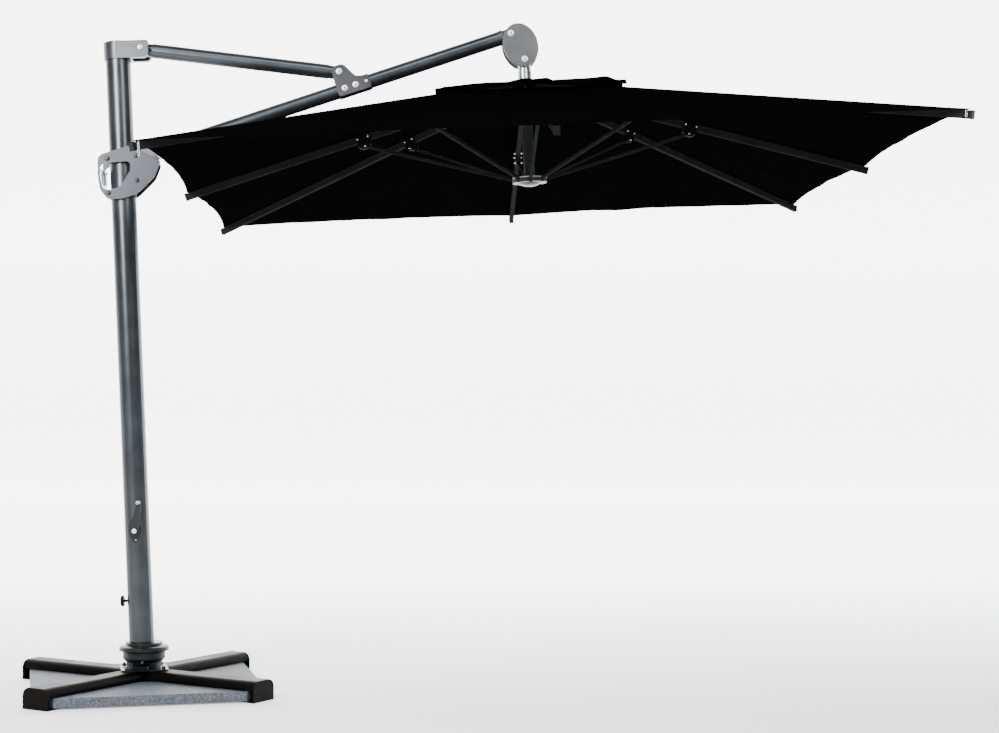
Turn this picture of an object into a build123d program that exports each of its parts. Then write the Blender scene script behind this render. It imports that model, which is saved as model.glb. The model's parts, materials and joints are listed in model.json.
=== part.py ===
"""Cantilever parasol: raked swivelling mast on a weighted cross base, boom and strut arm,
sliding handle, and a 3 m square canopy with eight folding ribs.

World frame: origin on the ground under the mast, +X from the mast towards the canopy, +Z up.
Everything above the swivel is drawn in the mast frame, which is the world frame tipped back
by MAST_RAKE about Y, and is moved into the world frame when it is written.
"""
from build123d import *
from math import atan2, cos, hypot, radians, sin, sqrt
import os

# ---------------------------------------------------------------- driving dimensions (mm, deg)
MAST_RAKE = 2.8
BASE_TURN = 12.2

MAST_R = 53.5
MAST_WALL = 3.0
MAST_BOTTOM = 172.0
MAST_TOP = 2751.0
GROOVE_ANGLES = (35, 145, 215, 325)
CAP_PIVOT = (106.0, 2788.0)
CAP_R = 60.0
CAP_LOW = 2744.0
CAP_HIGH = 2819.0
CAP_NOSE_X = 140.0
CAP_SLOT_HALF = 33.2

LEG_WIDTH = 130.0
LEG_HEIGHT = 88.0
LEG_START = 66.0
LEG_END = 645.0
LEG_WALL = 4.0
LEG_WEB = 30.0
LEG_SHOULDER_Z = 50.0
LEG_CORNER_R = 30.0
CAP_THICK = 7.5
SLAB_BOTTOM = 5.0
SLAB_TOP = 46.5
SLAB_TUCK = 34.0
SLAB_INNER = 156.0
SLAB_OUTER = 676.0
SLAB_CLIP = 614.0
CENTRE_WALL = 9.0
HOUSING_PLATE = 200.0
SPINDLE_R = 38.0
SPINDLE_CLEAR = 0.1
PEDAL_PIVOT = (-57.5, 104.5)
PEDAL_HALF_WIDTH = 33.5
PEDAL_THICK = 13.0
PEDAL_END_Y = -132.0

CRANK_Z = 690.0
CRANK_TIP = (22.0, 813.0)
LOCK_Z = 385.0
WINCH_HOLE_R = 6.4
WINCH_SHAFT_R = 6.0
COVER_OUT = 61.0
SCREW_PROUD = 1.5

HANDLE_PIVOT = (70.0, 2314.0)
PLATE_IN = 64.0
PLATE_OUT = 70.0
HANDLE_TRAVEL = 1200.0
BACK_PLATE_TRIM = 15.0
HANDLE_BOLTS = ((-53.0, 2305.0), HANDLE_PIVOT, (71.0, 2206.0), (-54.0, 2156.0))
HANDLE_BOLT_R = 6.0
HANDLE_HEAD_R = 11.0
SLEEVE_GAP = 0.3
SLEEVE_WALL = 1.9
SLEEVE_REACH = 18.0
BOSS_R = 15.0
BOSS_IN = 38.0
GRIP_X = (-91.0, -82.0)
GRIP_Z = (2184.0, 2264.0)
LEVER_X = (-78.0, -74.0)
LEVER_PIVOT = (-76.0, 2253.0)
LEVER_ROD_R = 3.9

BOOM_R = 32.0
BOOM_WALL = 2.5
ELBOW = (963.0, 2654.0)
HEAD_BOLT = (1724.0, 2795.0)
ARM_BOLT_R = 8.0
ARM_HEAD_R = 13.5
STRUT_R = 31.5
EAR_IN = 36.6
EAR_OUT = 41.6

POLE_X = 1780.0
HANG_BOLT = (POLE_X, 2679.0)
HEAD_CENTRE = (1765.0, 2742.0)
HEAD_IN = 36.0
HEAD_OUT = 44.0
POLE_R = 24.0
NECK_BOTTOM = 2633.0
COLLAR_BOTTOM = 2595.0
CROWN_Z = 2553.0
CROWN_R = 60.0
HINGE_PIN_R = 3.0
RUNNER_Z = 2148.0
RUNNER_R = 62.0

CANOPY_HALF = 1508.0
EAVE_Z = 2132.0
RIB_W = 20.0
RIB_H = 30.0
RIB_OVERHANG = -3.0
BRACKET_RADIUS = 727.0
BRACKET_DROP = 34.0
STRUT_W = 14.0
STRUT_H = 13.0
FOLDED_RIB_ANGLE = 84.0
FABRIC_THICK = 1.2
CLOTH_LIFT = 3.5
RIB_WALL = 1.8
VENT_HALF = 420.0
VENT_HOLE_HALF = 300.0
PIN_CLEAR = 0.1

os.makedirs("parts", exist_ok=True)


# ---------------------------------------------------------------- frames and small helpers
def raked(shape):
    """The same shape moved from the mast frame into the world frame."""
    return Rot(0, -MAST_RAKE, 0) * shape


def at_angle(shape, angle, x=0.0):
    """The shape turned about the vertical line through (x, 0)."""
    return Pos(x, 0, 0) * (Rot(0, 0, angle) * shape)


def side_plane(origin, toward=None):
    """Plane whose local x runs from origin to toward (or along X) and local y is up."""
    dx, dz = (1.0, 0.0) if toward is None else (toward[0] - origin[0], toward[1] - origin[1])
    size = hypot(dx, dz)
    return Plane(origin=(origin[0], 0, origin[1]), x_dir=(dx / size, 0, dz / size), z_dir=(0, -1, 0))


def slab_of(face_plane, outline, y_low, y_high):
    """Plate cut to a closed sketch outline, lying between two Y values."""
    sketch = face_plane.offset(-y_high) * outline
    return extrude(sketch, amount=y_high - y_low)


def rounded(points, radii):
    """Face of a closed polygon whose corners have the given radii."""
    return make_face(FilletPolyline(*points, radius=list(radii), close=True))


def cross_pin(centre, radius, y_low, y_high):
    """Round pin along Y through an (X, Z) point."""
    low = Plane(origin=(centre[0], y_low, centre[1]), z_dir=(0, 1, 0))
    return Solid.make_cylinder(radius, y_high - y_low, low)


def round_bar(start, end, radius):
    """Solid round bar between two (X, Z) points at Y = 0."""
    dx, dz = end[0] - start[0], end[1] - start[1]
    line = Plane(origin=(start[0], 0, start[1]), z_dir=(dx, 0, dz))
    return Solid.make_cylinder(radius, hypot(dx, dz), line)


def along(start, end, distance):
    """Point at a distance from start on the way to end."""
    size = hypot(end[0] - start[0], end[1] - start[1])
    return (start[0] + (end[0] - start[0]) * distance / size,
            start[1] + (end[1] - start[1]) * distance / size)


def upright(radius, z_low, z_high, x=0.0):
    """Solid vertical cylinder."""
    return Solid.make_cylinder(radius, z_high - z_low, Plane(origin=(x, 0, z_low), z_dir=(0, 0, 1)))


def block(x0, x1, y0, y1, z0, z1):
    """Solid box between two corners."""
    return Pos((x0 + x1) / 2, (y0 + y1) / 2, (z0 + z1) / 2) * Box(x1 - x0, y1 - y0, z1 - z0)


def bolt_head(centre, radius, y_face, outward):
    """Domed bolt head with a washer, standing on a face at y_face."""
    y_washer = y_face + outward * 1.6
    y_top = y_face + outward * 8.0
    washer = cross_pin(centre, radius, min(y_face, y_washer), max(y_face, y_washer))
    head = cross_pin(centre, radius * 0.78, min(y_washer, y_top), max(y_washer, y_top))
    rim = head.edges().filter_by(GeomType.CIRCLE).sort_by(Axis.Y)
    outer = rim[-1] if outward > 0 else rim[0]
    return washer + head.fillet(2.5, [outer])


def write(shape, node):
    """One STEP file for one named node."""
    export_step(shape, f"parts/{node}.step")


# ---------------------------------------------------------------- base
def leg_section():
    """Leg's end view: a rounded hollow shoulder over a narrow hollow web."""
    half = LEG_WIDTH / 2
    points = ((-half, 0), (half, 0), (half, LEG_WALL), (LEG_WEB, LEG_WALL), (LEG_WEB, LEG_SHOULDER_Z),
              (half, LEG_SHOULDER_Z), (half, LEG_HEIGHT), (-half, LEG_HEIGHT), (-half, LEG_SHOULDER_Z),
              (-LEG_WEB, LEG_SHOULDER_Z), (-LEG_WEB, LEG_WALL), (-half, LEG_WALL))
    face = make_face(Polyline(*points, close=True))
    top = [v for v in face.vertices() if v.Y > LEG_HEIGHT - 1]
    face = fillet(top, LEG_CORNER_R)
    upper = Pos(0, (LEG_SHOULDER_Z + LEG_HEIGHT) / 2) * Rectangle(
        2 * (half - LEG_WALL), LEG_HEIGHT - LEG_SHOULDER_Z - 2 * LEG_WALL)
    upper = fillet([v for v in upper.vertices() if v.Y > LEG_HEIGHT - 6], LEG_CORNER_R - LEG_WALL)
    web = Pos(0, LEG_SHOULDER_Z / 2 + LEG_WALL + 2) * Rectangle(2 * (LEG_WEB - LEG_WALL), LEG_SHOULDER_Z)
    return face - upper - web


def leg(angle):
    """Hollow extruded leg with wide shoulders over a narrow web."""
    plane = Plane(origin=(LEG_START, 0, 0), x_dir=(0, 1, 0), z_dir=(1, 0, 0))
    return at_angle(extrude(plane * leg_section(), amount=LEG_END - LEG_START), angle)


def leg_end_cap(angle):
    """Plate that closes a leg's outer end."""
    plane = Plane(origin=(LEG_END, 0, 0), x_dir=(0, 1, 0), z_dir=(1, 0, 0))
    half = LEG_WIDTH / 2 + 4
    face = make_face(Polyline((-half, 0), (half, 0), (half, LEG_HEIGHT), (-half, LEG_HEIGHT), close=True))
    face = fillet([v for v in face.vertices() if v.Y > 1], 35)
    return at_angle(extrude(plane * face, amount=CAP_THICK), angle)


def granite_slab(angle):
    """Triangular stone weight filling the quarter between two legs, its sharp corners cut off."""
    near, tuck = SLAB_INNER, SLAB_TUCK
    clip, rest = SLAB_CLIP, SLAB_OUTER - SLAB_CLIP
    points = ((tuck, near - tuck), (near - tuck, tuck), (clip, tuck), (clip, rest), (rest, clip), (tuck, clip))
    face = make_face(Polyline(*points, close=True))
    slab = extrude(Plane.XY.offset(SLAB_BOTTOM) * face, amount=SLAB_TOP - SLAB_BOTTOM)
    return at_angle(slab, angle)


def centre_block():
    """Square casting that joins the four legs, open at the top."""
    half = LEG_START - 1
    box = block(-half, half, -half, half, 0, LEG_HEIGHT)
    inner = half - CENTRE_WALL
    hollow = block(-inner, inner, -inner, inner, CENTRE_WALL, LEG_HEIGHT)
    return at_angle(box - hollow, BASE_TURN + 45)


def swivel_housing():
    """Bearing housing: bolted square plate, waist with a slot for the pedal, and a wide lower ring."""
    bore = SPINDLE_R + SPINDLE_CLEAR
    plate = extrude(Plane.XY.offset(LEG_HEIGHT + 0.2) * RectangleRounded(HOUSING_PLATE, HOUSING_PLATE, 24), amount=6)
    z0 = LEG_HEIGHT + 6.2
    profile = Polyline((bore, z0), (66, z0), (66, 97), (75, 99), (75, 120), (90.5, 136), (90.5, 164),
                       (86, 167.4), (bore, 167.4), close=True)
    ring = revolve(Plane.XZ * make_face(profile), axis=Axis.Z)
    y, z = PEDAL_PIVOT
    slot = PEDAL_HALF_WIDTH + 2.5
    ring -= block(-slot, slot, -95, y + 8, z - 10, z + 14)
    ring -= Solid.make_cylinder(HINGE_PIN_R + PIN_CLEAR, 2 * slot + 8, Plane(origin=(-slot - 4, y, z), z_dir=(1, 0, 0)))
    return at_angle(plate - upright(bore, LEG_HEIGHT - 2, LEG_HEIGHT + 9), BASE_TURN) + ring


def base_bolts():
    """Hex nuts over the legs, leg screws and the small spring pin on the housing."""
    bolts = []
    for k in range(4):
        angle = BASE_TURN + 45 + 90 * k
        nut = extrude(Plane.XY.offset(LEG_HEIGHT + 6.3) * RegularPolygon(9.5, 6), amount=9)
        stud = Solid.make_cylinder(5, 5, Plane.XY.offset(LEG_HEIGHT + 15.2))
        bolts.append(at_angle(Pos(112, 0, 0) * (nut + stud), angle))
    pin = Solid.make_cylinder(3.5, 16, Plane(origin=(8, -88, 128), z_dir=(0, -1, 0)))
    tip = Solid.make_cylinder(6, 5, Plane(origin=(8, -104, 128), z_dir=(0, -1, 0)))
    bolts.append(pin + tip)
    return Compound(children=bolts)


def foot_pedal():
    """Pedal that frees the swivel lock, with a barrel and pin at its hinge."""
    y, z = PEDAL_PIVOT
    width = PEDAL_HALF_WIDTH
    tread = block(-width, width, PEDAL_END_Y, y, z - PEDAL_THICK / 2, z + PEDAL_THICK / 2)
    tread = fillet(tread.edges().filter_by(Axis.Z).sort_by(Axis.Y)[:2], 12)
    barrel = Solid.make_cylinder(PEDAL_THICK / 2, 2 * width, Plane(origin=(-width, y, z), z_dir=(1, 0, 0)))
    pin_end = width + 5.5
    pin = Solid.make_cylinder(HINGE_PIN_R, 2 * pin_end, Plane(origin=(-pin_end, y, z), z_dir=(1, 0, 0)))
    return tread + barrel + pin


# ---------------------------------------------------------------- mast
def mast_flange():
    """Turning flange on a spindle, with the socket that holds the mast."""
    profile = Polyline((0, 112), (SPINDLE_R, 112), (SPINDLE_R, 168), (104, 168), (106, 170), (106, 184), (99, 189),
                       (79, 193), (79, 205), (0, 205), close=True)
    body = revolve(Plane.XZ * make_face(profile), axis=Axis.Z)
    return body - raked(upright(MAST_R, MAST_BOTTOM, 260))


def mast_tube():
    """Round mast tube with lengthwise grooves and holes for the winch shaft and lock pin."""
    tube = upright(MAST_R, MAST_BOTTOM, MAST_TOP) - upright(MAST_R - MAST_WALL, MAST_BOTTOM - 1, MAST_TOP + 1)
    for angle in GROOVE_ANGLES:
        groove = block(MAST_R - 1.3, MAST_R + 1, -1.8, 1.8, MAST_BOTTOM - 1, MAST_TOP + 1)
        tube -= at_angle(groove, angle)
    tube -= Solid.make_cylinder(WINCH_HOLE_R, 60, Plane(origin=(-1, 0, CRANK_Z), z_dir=(0, -1, 0)))
    tube -= Solid.make_cylinder(WINCH_HOLE_R, 60, Plane(origin=(0, 0, LOCK_Z), z_dir=(-1, 0, 0)))
    return raked(tube)


def mast_cap():
    """Cap over the mast top, drawn out into a clevis for the strut arm."""
    shell = upright(CAP_R, CAP_LOW, CAP_HIGH)
    nose = rounded(((0, CAP_LOW), (CAP_NOSE_X, CAP_LOW), (CAP_NOSE_X, CAP_HIGH), (0, CAP_HIGH)), (1, 24, 9, 1))
    shell += slab_of(side_plane((0, 0)), nose, -CAP_R, CAP_R)
    shell += upright(CAP_R - 9, CAP_HIGH - 1, CAP_HIGH + 4)
    shell -= upright(MAST_R, CAP_LOW - 1, MAST_TOP)
    shell -= block(64, CAP_NOSE_X + 9, -CAP_SLOT_HALF, CAP_SLOT_HALF, CAP_LOW - 9, CAP_HIGH + 9)
    shell -= cross_pin(CAP_PIVOT, ARM_BOLT_R, -70, 70)
    return raked(shell)


def mast_fasteners():
    """Cap pivot bolt, and the small screw of the winch cover."""
    bolt = cross_pin(CAP_PIVOT, ARM_BOLT_R, -CAP_R, CAP_R)
    bolt = bolt + bolt_head(CAP_PIVOT, 10.5, -CAP_R, -1) + bolt_head(CAP_PIVOT, 10.5, CAP_R, 1)
    low = cross_pin((1, CRANK_Z - 40), 4, -COVER_OUT - SCREW_PROUD, -COVER_OUT)
    return raked(Compound(children=[bolt, low]))


def winch_cover():
    """Oval plate that carries the crank's bush."""
    plane = side_plane((-1, CRANK_Z + 4))
    plate = slab_of(plane, Ellipse(27, 54), -COVER_OUT, -40)
    plate -= upright(MAST_R, 500, 900)
    plate -= cross_pin((-1, CRANK_Z), WINCH_HOLE_R, -70, -30)
    return raked(plate)


def winch_spool():
    """Cord drum inside the mast on the crank's shaft."""
    drum = cross_pin((-1, CRANK_Z), 20, -34, 34)
    for y in (-34, 31):
        drum += cross_pin((-1, CRANK_Z), 32, y, y + 3)
    return raked(drum + cross_pin((-1, CRANK_Z), WINCH_SHAFT_R, -COVER_OUT - 0.5, -34))


def crank_arm():
    """Tapered arm from the bush to the knob."""
    hub = (-1, CRANK_Z)
    length = hypot(CRANK_TIP[0] - hub[0], CRANK_TIP[1] - hub[1])
    plane = side_plane(hub, CRANK_TIP)
    outline = make_hull(Circle(19.5).edges() + (Pos(length, 0) * Circle(8.5)).edges())
    arm = slab_of(plane, outline, -74, -63)
    arm += cross_pin(hub, 15, -63, -61.6)
    arm += bolt_head(hub, 12.5, -74, -1)
    return raked(arm)


def crank_knob():
    """Turning knob on the crank arm's tip."""
    grip = cross_pin(CRANK_TIP, 4, -80, -74.2) + cross_pin(CRANK_TIP, 8, -112, -80)
    return raked(grip)


def lock_pin():
    """Mushroom knob on a round pin that slides in the mast's left side."""
    stem = Solid.make_cylinder(6, 22, Plane(origin=(-46, 0, LOCK_Z), z_dir=(-1, 0, 0)))
    disc = Solid.make_cylinder(24, 14, Plane(origin=(-68, 0, LOCK_Z), z_dir=(-1, 0, 0)))
    disc = disc.fillet(4, disc.edges().filter_by(GeomType.CIRCLE))
    return raked(stem + disc)


# ---------------------------------------------------------------- sliding handle
def handle_outline(trim):
    """Side view of a plate: flat back, full curved belly trimmed back a little, and a soft-cornered hand hole."""
    outer = rounded(((-98, 2240), (-95, 2322), (50, 2361), (176 - trim, 2286), (150 - trim, 2222), (70 - trim, 2148),
                     (10, 2129), (-58, 2127), (-90, 2172)), (60, 34, 34, 12, 90, 80, 60, 34, 60))
    hole = rounded(((-90, 2230), (-86, 2285), (44, 2290), (42, 2248), (-4, 2182), (-45, 2168), (-82, 2176)),
                   (60, 26, 16, 40, 40, 40, 26))
    return outer - hole


def handle_plate(y_low, y_high, trim=0.0):
    """One of the two plates either side of the mast."""
    plate = slab_of(side_plane((0, 0)), handle_outline(trim), y_low, y_high)
    for bolt in HANDLE_BOLTS:
        plate -= cross_pin(bolt, HANDLE_BOLT_R, y_low - 1, y_high + 1)
    return raked(plate)


def guide_sleeve():
    """Two slippery rings round the mast, each with bosses that hold the plates apart."""
    outside = MAST_R + SLEEVE_GAP + SLEEVE_WALL
    rings = []
    for bolt in (HANDLE_BOLTS[0], HANDLE_BOLTS[3]):
        ring = upright(outside, bolt[1] - SLEEVE_REACH, bolt[1] + SLEEVE_REACH)
        ring -= upright(MAST_R + SLEEVE_GAP, bolt[1] - 40, bolt[1] + 40)
        for y_low in (-PLATE_IN, BOSS_IN):
            boss = cross_pin(bolt, BOSS_R, y_low, y_low + PLATE_IN - BOSS_IN)
            ring += boss - upright(outside - 1, bolt[1] - 40, bolt[1] + 40)
        rings.append(ring)
    return raked(Compound(children=rings))


def handle_grip():
    """Ridged finger grip between the plates, with two lugs that carry the release lever."""
    bar = block(*GRIP_X, -PLATE_IN, PLATE_IN, *GRIP_Z)
    for k in range(5):
        bar -= Solid.make_cylinder(3, 160, Plane(origin=(GRIP_X[1] + 1.5, -80, GRIP_Z[0] + 10 + 15 * k), z_dir=(0, 1, 0)))
    x, z = LEVER_PIVOT
    for y_low in (-30, 26):
        lug = block(GRIP_X[1] - 3, x, y_low, y_low + 4, z - 6, z + 6) + cross_pin(LEVER_PIVOT, 6, y_low, y_low + 4)
        bar += lug - cross_pin(LEVER_PIVOT, LEVER_ROD_R + PIN_CLEAR, y_low - 1, y_low + 5)
    return raked(bar)


def handle_bolts():
    """Short bolts with domed heads, four on each plate."""
    bolts = []
    for bolt in HANDLE_BOLTS:
        for side in (-1, 1):
            inner, outer = sorted((side * PLATE_IN, side * PLATE_OUT))
            shank = cross_pin(bolt, HANDLE_BOLT_R, inner, outer)
            bolts.append(shank + bolt_head(bolt, HANDLE_HEAD_R, side * PLATE_OUT, side))
    return raked(Compound(children=bolts))


def release_lever():
    """Lever plate hanging from a round rod in the grip's lugs."""
    plate = block(*LEVER_X, -24, 24, GRIP_Z[0] + 12, LEVER_PIVOT[1])
    return raked(plate + cross_pin(LEVER_PIVOT, LEVER_ROD_R, -31, 31))


# ---------------------------------------------------------------- boom and strut arm
def boom_tube():
    """Round boom tube, open at both ends."""
    start = along(HANDLE_PIVOT, HEAD_BOLT, 100)
    end = along(HANDLE_PIVOT, HEAD_BOLT, boom_length() - 34)
    return raked(round_bar(start, end, BOOM_R) - round_bar(start, end, BOOM_R - BOOM_WALL))


def boom_length():
    """Distance between the boom's two pivots."""
    return hypot(HEAD_BOLT[0] - HANDLE_PIVOT[0], HEAD_BOLT[1] - HANDLE_PIVOT[1])


def boom_fork():
    """Fork whose two ears straddle the mast and meet the handle."""
    plane = side_plane(HANDLE_PIVOT, HEAD_BOLT)
    ear = make_hull(Circle(20).edges() + (Pos(92, 0) * Circle(27)).edges())
    fork = slab_of(plane, ear, -62.6, -57.2) + slab_of(plane, ear, 57.2, 62.6)
    bridge = Pos(91, 0) * RectangleRounded(16, 56, 3)
    fork += slab_of(plane, bridge, -62.6, 62.6)
    for side in (-1, 1):
        fork -= cross_pin(HANDLE_PIVOT, HANDLE_BOLT_R + 2 * PIN_CLEAR, side * 60 - 10, side * 60 + 10)
    return fork


def boom_tip():
    """Rounded plug that carries the boom's end between the head plates."""
    plane = side_plane(HEAD_BOLT, HANDLE_PIVOT)
    tip = cross_pin(HEAD_BOLT, 27, -34, 34)
    tip += slab_of(plane, Pos(17, 0) * Rectangle(33.8, 50), -27, 27)
    ferrule = round_bar(along(HEAD_BOLT, HANDLE_PIVOT, 34.2), along(HEAD_BOLT, HANDLE_PIVOT, 52), BOOM_R + 2.5)
    ferrule -= round_bar(along(HEAD_BOLT, HANDLE_PIVOT, 34), along(HEAD_BOLT, HANDLE_PIVOT, 53), BOOM_R + 0.05)
    return Compound(children=[tip - cross_pin(HEAD_BOLT, ARM_BOLT_R + PIN_CLEAR, -40, 40), ferrule])


def boom_end_fittings():
    """The boom's fork, tip plug and ferrule, in one node."""
    return raked(Compound(children=[boom_fork(), boom_tip()]))


def elbow_bracket():
    """Sleeve on the boom with two ears that rise to the strut's pivot."""
    plane = side_plane(HANDLE_PIVOT, HEAD_BOLT)
    dx, dz = ELBOW[0] - HANDLE_PIVOT[0], ELBOW[1] - HANDLE_PIVOT[1]
    tilt = atan2(HEAD_BOLT[1] - HANDLE_PIVOT[1], HEAD_BOLT[0] - HANDLE_PIVOT[0])
    u = dx * cos(tilt) + dz * sin(tilt)
    v = dz * cos(tilt) - dx * sin(tilt)
    outline = rounded(((u - 28, v + 28), (u + 26, v + 28), (u + 62, 36), (u + 116, 22), (u + 116, -30),
                       (u - 34, -30), (u - 34, v - 30)), (26, 24, 30, 12, 12, 12, 20))
    bracket = slab_of(plane, outline, -EAR_OUT, -EAR_IN) + slab_of(plane, outline, EAR_IN, EAR_OUT)
    sleeve = round_bar(along(HANDLE_PIVOT, HEAD_BOLT, u - 34), along(HANDLE_PIVOT, HEAD_BOLT, u + 116), EAR_IN + 0.4)
    bracket += sleeve
    bracket -= round_bar(along(HANDLE_PIVOT, HEAD_BOLT, u - 60), along(HANDLE_PIVOT, HEAD_BOLT, u + 130), BOOM_R)
    bracket -= cross_pin(ELBOW, ARM_BOLT_R, -60, 60)
    return raked(bracket)


def boom_fasteners():
    """Elbow pivot bolt and the bracket's own bolts and rivet."""
    tilt = atan2(HEAD_BOLT[1] - HANDLE_PIVOT[1], HEAD_BOLT[0] - HANDLE_PIVOT[0])
    u = (ELBOW[0] - HANDLE_PIVOT[0]) * cos(tilt) + (ELBOW[1] - HANDLE_PIVOT[1]) * sin(tilt)
    pivot = cross_pin(ELBOW, ARM_BOLT_R, -EAR_OUT, EAR_OUT)
    bolts = [pivot + bolt_head(ELBOW, ARM_HEAD_R, -EAR_OUT, -1) + bolt_head(ELBOW, ARM_HEAD_R, EAR_OUT, 1)]
    for offset, radius in ((0, 13), (50, 13), (100, 7)):
        centre = along(HANDLE_PIVOT, HEAD_BOLT, u + offset)
        for side in (-1, 1):
            bolts.append(bolt_head(centre, radius, side * EAR_OUT, side))
    return raked(Compound(children=bolts))


def strut_arm():
    """Upper arm from the mast cap to the elbow."""
    start, end = along(CAP_PIVOT, ELBOW, 48), along(CAP_PIVOT, ELBOW, strut_length() - 48)
    pieces = [round_bar(start, end, STRUT_R) - round_bar(start, end, STRUT_R - BOOM_WALL)]
    for end, other in ((CAP_PIVOT, ELBOW), (ELBOW, CAP_PIVOT)):
        eye = cross_pin(end, 29, -32.5, 32.5) + round_bar(along(end, other, 18), along(end, other, 70), 28.9)
        pieces.append(eye - cross_pin(end, ARM_BOLT_R + PIN_CLEAR, -40, 40))
    return raked(Compound(children=pieces))


def strut_length():
    """Distance between the strut arm's two pivots."""
    return hypot(ELBOW[0] - CAP_PIVOT[0], ELBOW[1] - CAP_PIVOT[1])


# ---------------------------------------------------------------- head and canopy hub
def head_plate(y_low, y_high):
    """Egg-shaped plate that hangs the canopy's neck from the boom's end."""
    plane = side_plane(HEAD_CENTRE)
    plate = slab_of(plane, Rot(0, 0, 15) * Ellipse(77, 98), y_low, y_high)
    for centre in (HEAD_BOLT, HANG_BOLT):
        plate -= cross_pin(centre, ARM_BOLT_R, y_low - 1, y_high + 1)
    return raked(plate)


def head_bolts():
    """The boom's bolt and the hanging bolt, through both head plates."""
    bolts = []
    for centre in (HEAD_BOLT, HANG_BOLT):
        bolt = cross_pin(centre, ARM_BOLT_R, -HEAD_OUT, HEAD_OUT)
        bolt = bolt + bolt_head(centre, ARM_HEAD_R, -HEAD_OUT, -1) + bolt_head(centre, ARM_HEAD_R, HEAD_OUT, 1)
        bolts.append(bolt)
    return raked(Compound(children=bolts))


def hanger_neck():
    """Tongue on the hanging bolt and the neck under it."""
    neck = cross_pin(HANG_BOLT, 27, -34, 34) + upright(28, NECK_BOTTOM, HANG_BOLT[1], POLE_X)
    return raked(neck - cross_pin(HANG_BOLT, ARM_BOLT_R + PIN_CLEAR, -40, 40))


def lock_collar():
    """Ring under the neck that the vent cloth is drawn up to."""
    ring = upright(30.5, COLLAR_BOTTOM, NECK_BOTTOM - 0.1, POLE_X) - upright(POLE_R, 2000, 2700, POLE_X)
    return raked(ring)


def canopy_pole():
    """Short pole from the neck down to the runner."""
    pole = upright(POLE_R, RUNNER_Z - 22, NECK_BOTTOM, POLE_X)
    return raked(pole - upright(POLE_R - 2.5, RUNNER_Z - 30, NECK_BOTTOM - 12, POLE_X))


def slotted_disc(z_low, z_high, radius, core, slot_width):
    """Disc round the pole with eight slots open to its rim."""
    disc = upright(radius, z_low, z_high) - upright(POLE_R + 0.1, z_low - 1, z_high + 1)
    for k in range(8):
        disc -= at_angle(block(core, radius + 5, -slot_width / 2, slot_width / 2, z_low - 1, z_high + 1), 45 * k)
    return disc


def crown_hub():
    """Crown with a hinge pin in each of its eight slots."""
    hub = slotted_disc(CROWN_Z - 16, CROWN_Z + 16, CROWN_R + 9, CROWN_R - 18, RIB_W + 1.6)
    for k in range(8):
        pin = Solid.make_cylinder(HINGE_PIN_R, RIB_W + 4, Plane(origin=(CROWN_R, -RIB_W / 2 - 2, CROWN_Z), z_dir=(0, 1, 0)))
        hub += at_angle(pin, 45 * k)
    return raked(Pos(POLE_X, 0, 0) * hub)


def runner_hub():
    """Runner that the eight struts push on."""
    hub = slotted_disc(RUNNER_Z - 13, RUNNER_Z + 13, 76.5, RUNNER_R - 15, STRUT_W + 2)
    return raked(Pos(POLE_X, 0, 0) * hub)


# ---------------------------------------------------------------- ribs and struts
def rib_is_corner(k):
    """Odd ribs run to the canopy's corners."""
    return k % 2 == 1


def rib_tip_radius(k):
    """Distance of the sheet's hem from the pole along rib k."""
    return CANOPY_HALF * (sqrt(2) if rib_is_corner(k) else 1.0)


def rib_slope(k):
    """Fall of the rib's axis outwards, in radians, with the canopy open."""
    return atan2(CROWN_Z - EAVE_Z, rib_tip_radius(k) - CROWN_R)


def rib_point(k, distance, drop=0.0, slope=None):
    """(r, z) at a distance along the rib from its hinge, and drop below its axis."""
    fall = rib_slope(k) if slope is None else slope
    return (CROWN_R + distance * cos(fall) - drop * sin(fall),
            CROWN_Z - distance * sin(fall) - drop * cos(fall))


def bracket_distance(k):
    """How far along its rib the strut's bracket sits."""
    return (BRACKET_RADIUS - CROWN_R) / cos(rib_slope(k))


def rib_strut_length(k):
    """Distance between a strut's two pivots with the canopy open."""
    r, z = rib_point(k, bracket_distance(k), BRACKET_DROP)
    return hypot(r - RUNNER_R, z - RUNNER_Z)


def runner_travel():
    """How far the runner drops when the middle ribs reach FOLDED_RIB_ANGLE."""
    r, z = rib_point(0, bracket_distance(0), BRACKET_DROP, radians(FOLDED_RIB_ANGLE))
    return RUNNER_Z - (z - sqrt(rib_strut_length(0) ** 2 - (r - RUNNER_R) ** 2))


def folded_slope(k):
    """Slope of rib k when the runner is down, found by halving."""
    low, high = radians(60), radians(89)
    for _ in range(60):
        mid = (low + high) / 2
        r, z = rib_point(k, bracket_distance(k), BRACKET_DROP, mid)
        gap = hypot(r - RUNNER_R, z - (RUNNER_Z - runner_travel())) - rib_strut_length(k)
        low, high = (mid, high) if gap > 0 else (low, mid)
    return low


def strut_slope(k, rib_fall, runner_z):
    """Downward angle of strut k, from its bracket in towards the runner."""
    r, z = rib_point(k, bracket_distance(k), BRACKET_DROP, rib_fall)
    return atan2(z - runner_z, r - RUNNER_R)


def radial_bar(start, end, width, height):
    """Rectangular bar between two (r, z) points, in the XZ plane."""
    plane = side_plane(start, end)
    length = hypot(end[0] - start[0], end[1] - start[1])
    return slab_of(plane, Pos(length / 2, 0) * Rectangle(length, height), -width / 2, width / 2)


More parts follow.
